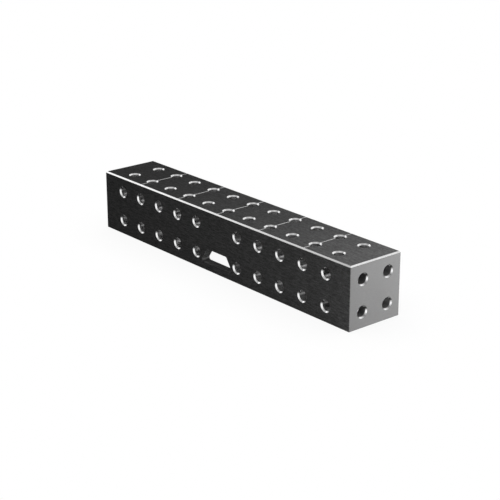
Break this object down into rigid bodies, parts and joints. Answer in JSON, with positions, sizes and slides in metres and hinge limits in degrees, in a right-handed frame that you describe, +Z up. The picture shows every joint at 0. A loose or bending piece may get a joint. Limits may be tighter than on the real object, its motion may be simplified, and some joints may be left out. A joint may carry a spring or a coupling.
{
  "type": "welding table block",
  "caption": "Long hollow steel block for a welding table, open below, with a grid of chamfered clamping bores in every wall, hand windows in its long sides and scale lines across its top.",
  "frame": {"origin": "middle of the plane of the bottom rim", "axes": "+X along the length, +Y towards the back long side, +Z up, out of the top face"},
  "size_m": [0.6, 0.1, 0.1],
  "materials": {
    "nitrided_steel": "satin"
  },
  "bodies": {
    "root": {"block": "nitrided_steel"}
  },
  "joints": []
}
